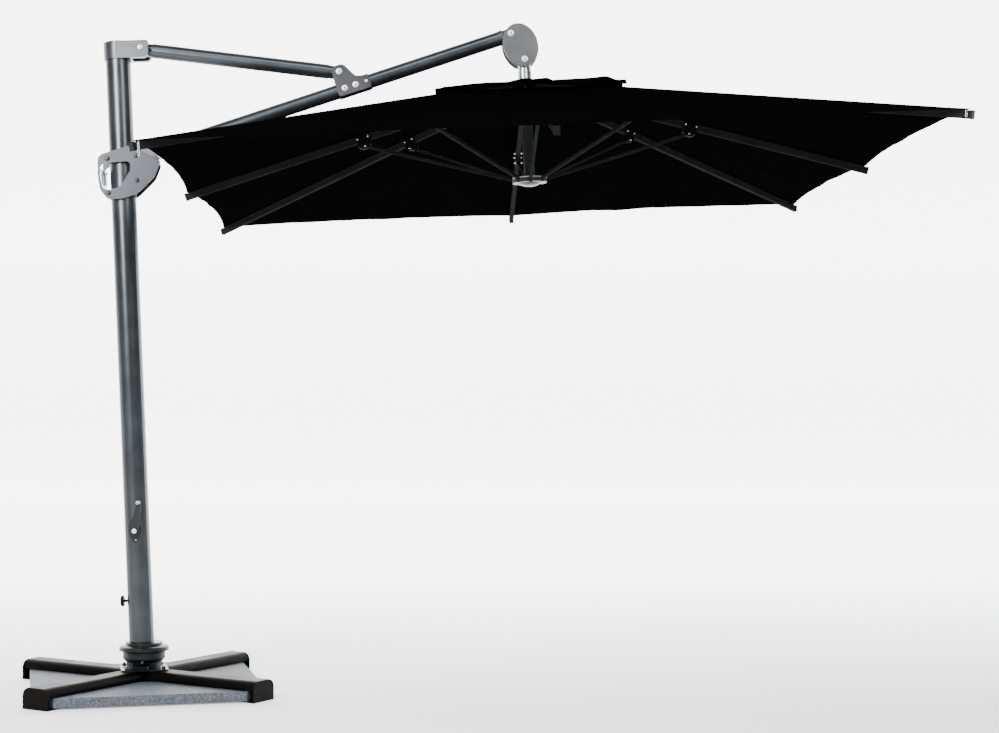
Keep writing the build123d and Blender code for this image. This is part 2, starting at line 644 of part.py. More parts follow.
def rib(k):
    """Rib with its rounded root, strut bracket and plugged tip, as separate solids."""
    length = (rib_tip_radius(k) + RIB_OVERHANG - CROWN_R) / cos(rib_slope(k))
    bar = radial_bar(rib_point(k, 0), rib_point(k, length), RIB_W, RIB_H)
    bar -= radial_bar(rib_point(k, 30), rib_point(k, length + 1), RIB_W - 2 * RIB_WALL, RIB_H - 2 * RIB_WALL)
    bar += cross_pin((CROWN_R, CROWN_Z), RIB_H / 2, -RIB_W / 2, RIB_W / 2)
    bar -= cross_pin((CROWN_R, CROWN_Z), HINGE_PIN_R + PIN_CLEAR, -20, 20)
    plug = radial_bar(rib_point(k, length + 0.05), rib_point(k, length + 8), RIB_W + 3, RIB_H + 3)
    plane = side_plane(rib_point(k, bracket_distance(k)), rib_point(k, length))
    outline = rounded(((-36, 14), (36, 14), (30, -30), (12, -46), (-14, -46), (-32, -30)), (8, 8, 14, 12, 12, 14))
    half = RIB_W / 2
    pivot = rib_point(k, bracket_distance(k), BRACKET_DROP)
    cheeks = slab_of(plane, outline, half + 0.05, half + 2.5) + slab_of(plane, outline, -half - 2.5, -half - 0.05)
    cheeks += cross_pin(pivot, HINGE_PIN_R, -half - 2.5, half + 2.5)
    bolts = []
    for u, v in ((-24, 4), (24, 4)):
        centre = rib_point(k, bracket_distance(k) + u, -v)
        for side in (-1, 1):
            bolts.append(bolt_head(centre, 5, side * (half + 2.5), side))
    for side in (-1, 1):
        bolts.append(bolt_head(pivot, 5, side * (half + 2.5), side))
    return raked(at_angle(Compound(children=[bar, plug, cheeks] + bolts), 45 * k, POLE_X))


def rib_strut(k):
    """Strut from the rib's bracket to the runner."""
    outer = rib_point(k, bracket_distance(k), BRACKET_DROP)
    inner = (RUNNER_R, RUNNER_Z)
    bar = radial_bar(inner, outer, STRUT_W, STRUT_H)
    for end in (inner, outer):
        bar += cross_pin(end, STRUT_H / 2, -STRUT_W / 2, STRUT_W / 2)
    bar -= cross_pin(outer, HINGE_PIN_R + PIN_CLEAR, -20, 20)
    return raked(at_angle(bar, 45 * k, POLE_X))


# ---------------------------------------------------------------- fabric
def pyramid(half, z_edge, half_top, z_top):
    """Square pyramid, cut flat at the top, round the canopy's axis."""
    low = Plane.XY.offset(z_edge) * Rectangle(2 * half, 2 * half)
    high = Plane.XY.offset(z_top) * Rectangle(2 * half_top, 2 * half_top)
    return loft([low, high])


def cloth_height(half):
    """Height of the main sheet's underside where its square is 2 * half wide."""
    share = (half - CROWN_R) / (CANOPY_HALF - CROWN_R)
    return CROWN_Z + (EAVE_Z - CROWN_Z) * share + RIB_H / 2 / cos(rib_slope(0)) + CLOTH_LIFT


def canopy_fabric():
    """Main sheet: a square pyramid skin with the vent opening at its middle."""
    z0, z1 = cloth_height(CANOPY_HALF), cloth_height(VENT_HOLE_HALF)
    skin = pyramid(CANOPY_HALF, z0 + FABRIC_THICK, VENT_HOLE_HALF, z1 + FABRIC_THICK)
    skin -= pyramid(CANOPY_HALF, z0, VENT_HOLE_HALF, z1)
    skin -= block(-CANOPY_HALF - 9, CANOPY_HALF + 9, -CANOPY_HALF - 9, CANOPY_HALF + 9, z0 - 20, z0 + FABRIC_THICK / 9)
    skin -= block(-VENT_HOLE_HALF, VENT_HOLE_HALF, -VENT_HOLE_HALF, VENT_HOLE_HALF, z1 - 40, z1 + 40)
    return raked(Pos(POLE_X, 0, 0) * skin)


def vent_fabric():
    """Small raised top over the vent opening, drawn up to the collar."""
    edge = cloth_height(VENT_HALF) + 22
    top = COLLAR_BOTTOM - 6
    skin = pyramid(VENT_HALF, edge + FABRIC_THICK, 34, top + FABRIC_THICK) - pyramid(VENT_HALF, edge, 34, top)
    skin -= block(-VENT_HALF - 9, VENT_HALF + 9, -VENT_HALF - 9, VENT_HALF + 9, edge - 20, edge + FABRIC_THICK / 9)
    return raked(Pos(POLE_X, 0, 0) * (skin - upright(27, 2400, 2700)))


# ---------------------------------------------------------------- write every node
def main():
    """Write every node of the parasol."""
    write(centre_block(), "base_centre_block")
    for k in range(4):
        write(leg(BASE_TURN + 45 + 90 * k), f"base_leg_{k + 1}")
        write(granite_slab(BASE_TURN + 45 + 90 * k), f"granite_slab_{k + 1}")
    write(Compound(children=[leg_end_cap(BASE_TURN + 45 + 90 * k) for k in range(4)]), "leg_end_caps")
    write(swivel_housing(), "swivel_housing")
    write(base_bolts(), "base_bolts")
    write(foot_pedal(), "foot_pedal")
    write(mast_flange(), "mast_flange")
    write(mast_tube(), "mast_tube")
    write(mast_cap(), "mast_cap")
    write(mast_fasteners(), "mast_fasteners")
    write(winch_cover(), "winch_cover")
    write(winch_spool(), "winch_spool")
    write(crank_arm(), "crank_arm")
    write(crank_knob(), "crank_knob")
    write(lock_pin(), "lock_pin")
    write(handle_plate(-PLATE_OUT, -PLATE_IN), "handle_plate_front")
    write(handle_plate(PLATE_IN, PLATE_OUT, BACK_PLATE_TRIM), "handle_plate_back")
    write(guide_sleeve(), "guide_sleeve")
    write(handle_grip(), "handle_grip")
    write(handle_bolts(), "handle_bolts")
    write(release_lever(), "release_lever")
    write(boom_tube(), "boom_tube")
    write(boom_end_fittings(), "boom_end_fittings")
    write(elbow_bracket(), "elbow_bracket")
    write(boom_fasteners(), "boom_fasteners")
    write(strut_arm(), "strut_arm")
    write(head_plate(-HEAD_OUT, -HEAD_IN), "head_plate_front")
    write(head_plate(HEAD_IN, HEAD_OUT), "head_plate_back")
    write(head_bolts(), "head_bolts")
    write(hanger_neck(), "hanger_neck")
    write(lock_collar(), "lock_collar")
    write(canopy_pole(), "canopy_pole")
    write(crown_hub(), "crown_hub")
    write(runner_hub(), "runner_hub")
    for k in range(8):
        write(rib(k), f"rib_{k + 1}")
        write(rib_strut(k), f"rib_strut_{k + 1}")
    write(canopy_fabric(), "canopy_fabric")
    write(vent_fabric(), "vent_fabric")


main()
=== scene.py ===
"""Looks of the cantilever parasol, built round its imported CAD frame. Metres, +Z up."""
import json
import random
from math import cos, exp, pi, radians, sin, sqrt, tan

import bmesh
import bpy
import numpy as np
from mathutils import Matrix, Vector, noise


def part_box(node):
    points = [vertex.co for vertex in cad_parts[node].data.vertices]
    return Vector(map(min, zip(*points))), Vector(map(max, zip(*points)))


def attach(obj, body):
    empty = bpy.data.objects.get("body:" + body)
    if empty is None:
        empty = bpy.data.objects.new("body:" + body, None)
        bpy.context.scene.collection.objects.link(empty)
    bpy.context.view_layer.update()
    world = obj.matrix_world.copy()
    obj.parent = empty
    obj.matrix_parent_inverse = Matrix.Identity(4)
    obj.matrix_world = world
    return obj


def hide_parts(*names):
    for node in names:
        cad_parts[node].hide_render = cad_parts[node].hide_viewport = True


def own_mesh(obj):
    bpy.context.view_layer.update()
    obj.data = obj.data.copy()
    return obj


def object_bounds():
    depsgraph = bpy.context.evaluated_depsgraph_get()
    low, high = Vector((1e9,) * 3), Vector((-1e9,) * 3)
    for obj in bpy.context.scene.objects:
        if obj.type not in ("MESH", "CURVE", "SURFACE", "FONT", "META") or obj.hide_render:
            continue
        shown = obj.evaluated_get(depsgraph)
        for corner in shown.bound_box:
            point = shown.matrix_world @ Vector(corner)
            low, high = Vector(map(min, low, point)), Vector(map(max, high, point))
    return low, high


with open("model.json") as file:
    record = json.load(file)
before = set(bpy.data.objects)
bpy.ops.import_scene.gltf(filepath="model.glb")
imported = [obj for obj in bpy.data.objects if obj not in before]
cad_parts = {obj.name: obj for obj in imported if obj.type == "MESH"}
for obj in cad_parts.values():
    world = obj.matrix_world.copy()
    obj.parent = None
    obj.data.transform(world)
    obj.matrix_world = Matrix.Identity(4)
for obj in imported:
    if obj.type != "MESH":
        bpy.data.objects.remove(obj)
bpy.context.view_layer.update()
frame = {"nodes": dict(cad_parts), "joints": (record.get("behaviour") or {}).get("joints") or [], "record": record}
random.seed(7)

JOINTS = {j["name"]: j for j in frame["joints"]}
BODY_OF = {n: b for b, ns in frame["record"]["behaviour"]["bodies"].items() for n in ns}
SLOT_OF = {s["node"]: s["material_slot"] for s in frame["record"]["subparts"]}


# ---------------------------------------------------------------- the raked frame
UP = -Vector(JOINTS["runner_slide"]["axis"])
EAST = Vector((0, 1, 0)).cross(UP).normalized()
NORTH = Vector((0, 1, 0))
HINGES = [Vector(JOINTS[f"rib_fold_{k}"]["pos_m"]) for k in range(1, 9)]
CROWN = sum(HINGES, Vector()) / 8


def canopy_point(x, y, z):
    """World place of a point given from the crown, along the canopy's own axes."""
    return CROWN + EAST * x + NORTH * y + UP * z


def canopy_local(p):
    """A world point given from the crown, along the canopy's own axes."""
    d = Vector(p) - CROWN
    return Vector((d.dot(EAST), d.dot(NORTH), d.dot(UP)))


# ---------------------------------------------------------------- camera, floor, light
CAMERA_AT = Vector((1.1674, -7.8603, 1.2137))
CAMERA_YAW = 0.0477
CAMERA_PITCH = 0.0247
CAMERA_ROLL = 0.0035
CAMERA_LENS = 64.38
SENSOR = 36
WORLD_LIGHT = 0.15
LAMPS = (                               # name, place, target, (width, height), watts
    ("key", (-1.7, -4.2, 3.5), (0, 0, 2.4), (0.9, 2.1), 520),
    ("right", (3.0, -3.5, 3.6), (0, 0, 2.5), (1.2, 1.6), 110),
    ("top", (1.2, -3.5, 6.0), (1.4, 0, 2.0), (4.0, 1.2), 170),
    ("low", (-3.5, -5.0, 0.9), (0, 0, 0.4), (1.2, 1.2), 5),
)
PAPER_BACK = 24.0                       # far wall, and how far the floor comes forward
PAPER_FRONT = 90.0
PAPER_LEFT = -90.0
PAPER_RIGHT = 92.0
PAPER_TOP = 42.0
PAPER_SWEEP = 4.0                       # radius of the curve from floor to wall
PAPER_STEPS = 24
PAPER_GLOW = (0.22, 4.5)                # emission in front, and at the back
GLOW_FROM, GLOW_TO = -0.6, 5.0          # along Y, where the one turns into the other
PAPER_GAP = 0.0006                      # between the floor and the lowest piece


def make_camera():
    """The viewpoint: a level line of sight turned by yaw, pitch and roll."""
    data = bpy.data.cameras.new("camera")
    data.lens = CAMERA_LENS
    data.sensor_width = SENSOR
    data.clip_end = 200
    cam = bpy.data.objects.new("camera", data)
    bpy.context.scene.collection.objects.link(cam)
    level_ahead = Vector((sin(CAMERA_YAW), cos(CAMERA_YAW), 0))
    ahead = level_ahead * cos(CAMERA_PITCH) + Vector((0, 0, sin(CAMERA_PITCH)))
    level = Vector((cos(CAMERA_YAW), -sin(CAMERA_YAW), 0))
    above = level.cross(ahead)
    right = level * cos(CAMERA_ROLL) + above * sin(CAMERA_ROLL)
    top = above * cos(CAMERA_ROLL) - level * sin(CAMERA_ROLL)
    turn = Matrix((right, top, -ahead)).transposed()
    cam.matrix_world = Matrix.Translation(CAMERA_AT) @ turn.to_4x4()
    bpy.context.scene.camera = cam


def softbox(name, place, target, size, power):
    """Rectangular lamp at a place, turned to a target."""
    data = bpy.data.lights.new(name, "AREA")
    data.shape = "RECTANGLE"
    data.size, data.size_y = size
    data.energy = power
    lamp = bpy.data.objects.new(name, data)
    bpy.context.scene.collection.objects.link(lamp)
    lamp.location = place
    lamp.rotation_euler = (Vector(target) - Vector(place)).to_track_quat("-Z", "Y").to_euler()


def glowing_paper():
    """Pale paper that lights up towards the wall, so the parasol stands before near-white."""
    m = material("paper", (0.93, 0.93, 0.93), 0.95, speckle=0.01, blotch=0.012, bump=0.0)
    t = m.node_tree
    place = node_of(t, "ShaderNodeTexCoord")
    parts = node_of(t, "ShaderNodeSeparateXYZ")
    rise = node_of(t, "ShaderNodeMapRange", From_Min=GLOW_FROM, From_Max=GLOW_TO)
    rise.inputs["To Min"].default_value, rise.inputs["To Max"].default_value = PAPER_GLOW
    link(t, place, "Object", parts, "Vector")
    link(t, parts, "Y", rise, "Value")
    link(t, rise, 0, t.nodes["Principled BSDF"], "Emission Strength")
    t.nodes["Principled BSDF"].inputs["Emission Color"].default_value = (1, 1, 1, 1)
    return m


def make_paper():
    """Floor that curves up into a wall behind the parasol."""
    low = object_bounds()[0][2] - PAPER_GAP
    bend = PAPER_BACK - PAPER_SWEEP
    line = [(-PAPER_FRONT, low), (bend, low)]
    for i in range(1, PAPER_STEPS + 1):
        a = pi / 2 * i / PAPER_STEPS
        line.append((bend + PAPER_SWEEP * sin(a), low + PAPER_SWEEP * (1 - cos(a))))
    line.append((PAPER_BACK, PAPER_TOP))
    verts = [(x, y, z) for y, z in line for x in (PAPER_LEFT, PAPER_RIGHT)]
    faces = [(2 * i, 2 * i + 1, 2 * i + 3, 2 * i + 2) for i in range(len(line) - 1)]
    mesh = bpy.data.meshes.new("paper")
    mesh.from_pydata(verts, [], faces)
    paper = bpy.data.objects.new("paper", mesh)
    bpy.context.scene.collection.objects.link(paper)
    mesh.shade_smooth()
    mesh.materials.append(glowing_paper())


def make_studio():
    """Even dim surroundings, four softboxes and the paper."""
    world = bpy.data.worlds.new("studio")
    world.use_nodes = True
    world.node_tree.nodes["Background"].inputs[0].default_value = (1, 1, 1, 1)
    world.node_tree.nodes["Background"].inputs[1].default_value = WORLD_LIGHT
    bpy.context.scene.world = world
    for lamp in LAMPS:
        softbox(*lamp)
    make_paper()


# ---------------------------------------------------------------- material tools
def node_of(tree, kind, **inputs):
    """New shader node; each keyword sets the input of that name, or else the node's own property."""
    n = tree.nodes.new(kind)
    for key, value in inputs.items():
        name = key.replace("_", " ")
        if name in n.inputs:
            n.inputs[name].default_value = value
        else:
            setattr(n, key, value)
    return n


def link(tree, a, a_out, b, b_in):
    """Joins an output of node a to an input of node b."""
    tree.links.new(a.outputs[a_out], b.inputs[b_in])


def ramp(tree, stops):
    """Colour ramp through (position, colour) stops, in order."""
    n = tree.nodes.new("ShaderNodeValToRGB")
    for end in (0, -1):
        n.color_ramp.elements[end].position = stops[end][0]
        n.color_ramp.elements[end].color = (*stops[end][1], 1)
    for place, colour in stops[1:-1]:
        n.color_ramp.elements.new(place).color = (*colour, 1)
    return n


def shade(colour, factor):
    """A colour made lighter or darker, never past white."""
    return tuple(min(1.0, c * factor) for c in colour)


def material(name, colour, rough, metal=0.0, speckle=0.06, scale=900, stretch=(1, 1, 1), bump=0.04, wear=0.0,
             coat=0.0, blotch=0.12, specular=0.5):
    """Painted or bare metal and moulded plastic: fine grain, soft blotches, and paler worn edges."""
    m = bpy.data.materials.new(name)
    m.use_nodes = True
    t = m.node_tree
    s = t.nodes["Principled BSDF"]
    s.inputs["Metallic"].default_value = metal
    s.inputs["Coat Weight"].default_value = coat
    s.inputs["Specular IOR Level"].default_value = specular
    where = node_of(t, "ShaderNodeTexCoord")
    mapping = node_of(t, "ShaderNodeMapping", Scale=stretch)
    link(t, where, "Object", mapping, "Vector")
    fine = node_of(t, "ShaderNodeTexNoise", Scale=scale, Detail=3)
    wide = node_of(t, "ShaderNodeTexNoise", Scale=7, Detail=4)
    link(t, mapping, 0, fine, "Vector")
    link(t, where, "Object", wide, "Vector")
    tone = ramp(t, [(0.3, shade(colour, 1 - speckle)), (0.7, shade(colour, 1 + speckle))])
    link(t, fine, 0, tone, 0)
    clouds = ramp(t, [(0.35, (1 - blotch,) * 3), (0.65, (1 + blotch,) * 3)])
    link(t, wide, 0, clouds, 0)
    mix = node_of(t, "ShaderNodeMix", data_type="RGBA", blend_type="MULTIPLY")
    mix.inputs[0].default_value = 1
    link(t, tone, 0, mix, 6)
    link(t, clouds, 0, mix, 7)
    out = mix
    if wear:
        edge = node_of(t, "ShaderNodeNewGeometry")
        worn = ramp(t, [(0.54, (0, 0, 0)), (0.62, (wear, wear, wear))])
        link(t, edge, "Pointiness", worn, 0)
        pale = node_of(t, "ShaderNodeMix", data_type="RGBA")
        link(t, worn, 0, pale, 0)
        link(t, mix, 2, pale, 6)
        pale.inputs[7].default_value = (*shade(colour, 3.0), 1)
        out = pale
    link(t, out, 2, s, "Base Color")
    gloss = ramp(t, [(0.3, (rough * 0.86,) * 3), (0.7, (min(1, rough * 1.14),) * 3)])
    link(t, wide, 0, gloss, 0)
    link(t, gloss, 0, s, "Roughness")
    relief = node_of(t, "ShaderNodeBump", Strength=bump, Distance=0.0006)
    link(t, fine, 0, relief, "Height")
    link(t, relief, 0, s, "Normal")
    return m


def granite():
    """Grey stone with blue-grey, pale and dark grains, and a sawn, slightly pitted face."""
    m = bpy.data.materials.new("granite")
    m.use_nodes = True
    t = m.node_tree
    s = t.nodes["Principled BSDF"]
    where = node_of(t, "ShaderNodeTexCoord")
    grains = node_of(t, "ShaderNodeTexVoronoi", Scale=230)
    flecks = node_of(t, "ShaderNodeTexNoise", Scale=420, Detail=6, Roughness=0.75)
    clouds = node_of(t, "ShaderNodeTexNoise", Scale=9, Detail=5)
    for n in (grains, flecks, clouds):
        link(t, where, "Object", n, "Vector")
    grain_tone = ramp(t, [(0.1, (0.026, 0.032, 0.04)), (0.35, (0.07, 0.084, 0.104)),
                          (0.6, (0.098, 0.118, 0.144)), (0.95, (0.21, 0.238, 0.28))])
    link(t, grains, "Color", grain_tone, 0)
    dark = ramp(t, [(0.44, (0.1, 0.11, 0.13)), (0.57, (1, 1, 1))])
    link(t, flecks, 0, dark, 0)
    mix = node_of(t, "ShaderNodeMix", data_type="RGBA", blend_type="MULTIPLY")
    mix.inputs[0].default_value = 0.8
    link(t, grain_tone, 0, mix, 6)
    link(t, dark, 0, mix, 7)
    stain = ramp(t, [(0.3, (0.86, 0.86, 0.88)), (0.7, (1.12, 1.12, 1.12))])
    link(t, clouds, 0, stain, 0)
    last = node_of(t, "ShaderNodeMix", data_type="RGBA", blend_type="MULTIPLY")
    last.inputs[0].default_value = 1
    link(t, mix, 2, last, 6)
    link(t, stain, 0, last, 7)
    link(t, last, 2, s, "Base Color")
    gloss = ramp(t, [(0.3, (0.5,) * 3), (0.7, (0.78,) * 3)])
    link(t, flecks, 0, gloss, 0)
    link(t, gloss, 0, s, "Roughness")
    relief = node_of(t, "ShaderNodeBump", Strength=0.35, Distance=0.0012)
    link(t, flecks, 0, relief, "Height")
    link(t, relief, 0, s, "Normal")
    return m


WEAVE_PITCH = 0.0036


def canvas():
    """Black woven cloth: crossed threads, with faint streaks along one of the two directions."""
    m = bpy.data.materials.new("canopy_cloth")
    m.use_nodes = True
    t = m.node_tree
    s = t.nodes["Principled BSDF"]
    s.inputs["Specular IOR Level"].default_value = 0.0
    uv = node_of(t, "ShaderNodeUVMap")
    uv.uv_map = "cloth"
    waves = []
    for direction, detail in (("X", 1.2), ("Y", 1.6)):
        w = node_of(t, "ShaderNodeTexWave", Scale=0.314 / WEAVE_PITCH, Distortion=0.5, Detail=detail)
        w.bands_direction = direction
        link(t, uv, 0, w, "Vector")
        waves.append(w)
    weave = node_of(t, "ShaderNodeMath", operation="MULTIPLY")
    link(t, waves[0], "Fac", weave, 0)
    link(t, waves[1], "Fac", weave, 1)
    streak_map = node_of(t, "ShaderNodeMapping", Scale=(9, 330, 1))
    streaks = node_of(t, "ShaderNodeTexNoise", Scale=1, Detail=3)
    link(t, uv, 0, streak_map, "Vector")
    link(t, streak_map, 0, streaks, "Vector")
    tone = ramp(t, [(0.3, (0.0007, 0.0007, 0.00075)), (0.75, (0.0021, 0.0021, 0.0022))])
    link(t, streaks, 0, tone, 0)
    thread = ramp(t, [(0.0, (0.55,) * 3), (1.0, (1.35,) * 3)])
    link(t, weave, 0, thread, 0)
    mix = node_of(t, "ShaderNodeMix", data_type="RGBA", blend_type="MULTIPLY")
    mix.inputs[0].default_value = 1
    link(t, tone, 0, mix, 6)
    link(t, thread, 0, mix, 7)
    link(t, mix, 2, s, "Base Color")
    gloss = ramp(t, [(0.0, (0.72,) * 3), (1.0, (0.9,) * 3)])
    link(t, streaks, 0, gloss, 0)
    link(t, gloss, 0, s, "Roughness")
    relief = node_of(t, "ShaderNodeBump", Strength=0.4, Distance=0.0005)
    link(t, weave, 0, relief, "Height")
    link(t, relief, 0, s, "Normal")
    return m


def make_materials():
    """One material for each of the record's slots, and a few for small dressed pieces."""
    return {
        "leg_steel": material("leg_steel", (0.0018, 0.0017, 0.0014), 0.42, bump=0.12, wear=0.2,
                              specular=0.04),
        "granite": granite(),
        "collar_metal": material("collar_metal", (0.009, 0.0098, 0.0106), 0.34, metal=0.3, bump=0.1, wear=0.3,
                                 specular=0.25),
        "bright_steel": material("bright_steel", (0.62, 0.62, 0.63), 0.26, metal=1.0, bump=0.03),
        "black_plastic": material("black_plastic", (0.003, 0.003, 0.0032), 0.42, bump=0.12, specular=0.08),
        "mast_metal": material("mast_metal", (0.05, 0.057, 0.064), 0.32, metal=0.85, speckle=0.1, scale=500,
                               stretch=(1, 1, 0.02), bump=0.05),
        "cap_plastic": material("cap_plastic", (0.036, 0.039, 0.044), 0.36, metal=0.7, bump=0.05, wear=0.15),
        # painted shade: the handle plates' silver is darkened to hold back the key lamp's light on them
        "silver_plate": material("silver_plate", (0.03, 0.0325, 0.0365), 0.33, metal=0.85, speckle=0.12,
                                 scale=1400, bump=0.06, wear=0.3),
        "grip_plastic": material("grip_plastic", (0.62, 0.65, 0.66), 0.22, metal=0.2, bump=0.02),
        "bracket_metal": material("bracket_metal", (0.052, 0.055, 0.06), 0.35, metal=0.75, bump=0.06,
                                  wear=0.2),
        "rib_metal": material("rib_metal", (0.012, 0.0123, 0.013), 0.6, metal=0.0, speckle=0.08, bump=0.05,
                              specular=0.0),
        "canopy_cloth": canvas(),
        "neck_silver": material("neck_silver", (0.3, 0.31, 0.32), 0.3, metal=0.9, bump=0.04),
        # painted light: the same silver as the handle plates, drawn lighter for the head plates, which lie outside
        # the key lamp's focus
        "head_plate_silver_painted_light": material("head_plate_silver_painted_light", (0.073, 0.077, 0.083), 0.36, metal=0.7, speckle=0.12,
                                scale=1400, bump=0.06, wear=0.2),
        "winch_grey": material("winch_grey", (0.013, 0.0146, 0.016), 0.4, bump=0.08, specular=0.2),
        # painted shade: the thin dark hexagon on each bolt dome stands for the shade inside its socket
        "painted_socket_shade": material("painted_socket_shade", (0.01, 0.01, 0.01), 0.6),
        "bolt_face": material("bolt_face", (0.86, 0.86, 0.87), 0.3, metal=0.35, bump=0.02),
        "rivet_red": material("rivet_red", (0.35, 0.09, 0.08), 0.4, bump=0.03),
    }


# ---------------------------------------------------------------- mesh tools
MERGE = 2e-5                            # corners closer than this are one
FLAT_ANGLE = radians(0.6)               # edges flatter than this are dissolved
BEVEL_ANGLE = radians(38)               # edges sharper than this are rounded
SHARP_ANGLE = radians(32)
TURNED_SHARP = radians(35)


def new_piece(name, bm, mats):
    """Smooth-shaded object from a bmesh, with the named materials in its slots."""
    mesh = bpy.data.meshes.new(name)
    bm.to_mesh(mesh)
    bm.free()
    piece = bpy.data.objects.new(name, mesh)
    bpy.context.scene.collection.objects.link(piece)
    for m in mats:
        mesh.materials.append(MATERIALS[m])
    mesh.shade_smooth()
    return piece


def apply_modifiers(piece):
    """Puts the modifiers' result in place of the mesh."""
    bpy.context.view_layer.update()
    depsgraph = bpy.context.evaluated_depsgraph_get()
    mesh = bpy.data.meshes.new_from_object(piece.evaluated_get(depsgraph))
    piece.modifiers.clear()
    old = piece.data
    piece.data = mesh
    bpy.data.meshes.remove(old)


# Nodes that look other than their slot's material. The head plates take a lighter copy of the handle plates'
# silver, which is painted light, since the key lamp falls on the handle plates and not on the head.
LOOK_OF = {
    "hanger_neck": "neck_silver", "lock_collar": "neck_silver",
    "winch_cover": "winch_grey", "crank_arm": "winch_grey",
    "base_bolts": "bracket_metal",
    "head_plate_front": "head_plate_silver_painted_light", "head_plate_back": "head_plate_silver_painted_light",
}
# Nodes whose bevel is not held back by their short edges.
PLATES = ("handle_plate", "head_plate", "granite", "leg_end_caps")


def softened(node, width):
    """A CAD node drawn again with its sharp edges rounded, standing for that node."""
    source = frame["nodes"][node]
    bm = bmesh.new()
    bm.from_mesh(source.data)
    bmesh.ops.remove_doubles(bm, verts=bm.verts, dist=MERGE)
    bmesh.ops.dissolve_limit(bm, angle_limit=FLAT_ANGLE, verts=bm.verts, edges=bm.edges)
    piece = new_piece(f"{node}_finished", bm, [LOOK_OF.get(node, SLOT_OF[node])])
    bevel = piece.modifiers.new("bevel", "BEVEL")
    bevel.width = width
    bevel.segments = 2
    bevel.limit_method = "ANGLE"
    bevel.angle_limit = BEVEL_ANGLE
    bevel.use_clamp_overlap = not node.startswith(PLATES)
    apply_modifiers(piece)
    piece.data.set_sharp_from_angle(angle=SHARP_ANGLE)
    flats = piece.modifiers.new("flats", "WEIGHTED_NORMAL")
    flats.weight = 100
    flats.keep_sharp = True
    apply_modifiers(piece)
    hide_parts(node)
    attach(piece, BODY_OF[node])
    return piece


RIB_HALF_WIDTH = 0.010
BRACKET_PLATE = 0.0026
PLUG_LENGTH = 0.0086


def rib_reach(k):
    """Distance from the hinge to where the end plug begins."""
    verts = frame["nodes"][f"rib_{k + 1}"].data.vertices
    return max((v.co - HINGES[k]).length for v in verts) - PLUG_LENGTH


def colour_rib_fittings(piece, k):
    """Black strut bracket and end plug, and bright bolts, on the rib's own metal."""
    tangent = tangent_of(k)
    reach = rib_reach(k)
    for name in ("black_plastic", "bright_steel"):
        piece.data.materials.append(MATERIALS[name])
    for face in piece.data.polygons:
        off = abs((face.center - HINGES[k]).dot(tangent))
        along = (face.center - HINGES[k]).length
        if off > RIB_HALF_WIDTH + BRACKET_PLATE:
            face.material_index = 2
        elif off > RIB_HALF_WIDTH + 0.0001 or along > reach:
            face.material_index = 1


def lathe(bm, origin, axis, profile, material_index=0, steps=32, sides=0):
    """Turned shape, closed at both ends, from (distance along axis, radius) pairs; sides=6 makes it a prism."""
    axis = Vector(axis).normalized()
    side = axis.orthogonal().normalized()
    other = axis.cross(side)
    count = sides or steps
    rings = []
    for along, radius in profile:
        ring = []
        for i in range(count):
            a = 2 * pi * i / count
            spoke = side * cos(a) + other * sin(a)
            ring.append(bm.verts.new(Vector(origin) + axis * along + spoke * radius))
        rings.append(ring)
    for low, high in zip(rings, rings[1:]):
        for i in range(count):
            f = bm.faces.new((low[i], low[(i + 1) % count], high[(i + 1) % count], high[i]))
            f.material_index = material_index
    for ring in (rings[0][::-1], rings[-1]):
        f = bm.faces.new(ring)
        f.material_index = material_index


def tube_along(bm, points, radius, steps=10):
    """Round tube through points, closed at both ends."""
    points = [Vector(p) for p in points]
    side = None
    rings = []
    for i, p in enumerate(points):
        ahead = (points[min(i + 1, len(points) - 1)] - points[max(i - 1, 0)]).normalized()
        side = ahead.orthogonal() if side is None else (side - ahead * side.dot(ahead))
        side.normalize()
        other = ahead.cross(side)
        ring = []
        for j in range(steps):
            a = 2 * pi * j / steps
            ring.append(bm.verts.new(p + (side * cos(a) + other * sin(a)) * radius))
        rings.append(ring)
    for low, high in zip(rings, rings[1:]):
        for j in range(steps):
            bm.faces.new((low[j], low[(j + 1) % steps], high[(j + 1) % steps], high[j]))
    for ring in (rings[0][::-1], rings[-1]):
        bm.faces.new(ring)


# ---------------------------------------------------------------- the cloth
SHEET = np.array([canopy_local(v.co) for v in frame["nodes"]["canopy_fabric"].data.vertices])
HALF = float(SHEET[:, 1].max())
EDGE_Z = float(SHEET[:, 2].min())
HOLE_HALF = float(np.abs(SHEET[:, :2]).max(1).min())
HOLE_Z = float(SHEET[:, 2].max())
SHEET_SLOPE = (HOLE_Z - EDGE_Z) / (HALF - HOLE_HALF)
VENT = np.array([canopy_local(v.co) for v in frame["nodes"]["vent_fabric"].data.vertices])
VENT_HALF = float(VENT[:, 1].max())
VENT_TOP_Z = float(VENT[:, 2].max())
SCALLOP = 0.036                         # how far the hem curves in between ribs
PANEL_SAG = 0.010                       # how far a panel dips between ribs
HEM_WIDTH = 0.022
CLOTH_THICK = 0.0012
VENT_CORNER = 0.014                     # how far the vent's corners are drawn in
VENT_CORNER_SPREAD = 0.12               # as a share of the way from rib to rib
VENT_START = VENT_TOP_Z - 0.016         # height at which the vent sheet leaves its top cone
VENT_TOP_HALF = 0.062
CLOTH_GAP = 0.0008                      # between the rib and the cloth on it


def perimeter(q):
    """Point on the unit square's edge; q runs 0..8, one step from each rib to the next."""
    q = q % 8
    side, along = divmod(q + 1, 2)
    t = along - 1
    x, y = 1.0, t
    for _ in range(int(side) % 4):
        x, y = -y, x
    return x, y


def between_ribs(q):
    """0 on a rib and 1 midway to the next."""
    return sin(pi * (q % 1))


def sheet_height(half):
    """Height of the taut sheet on a square of this half-width."""
    return EDGE_Z + SHEET_SLOPE * (HALF - half) + CLOTH_GAP


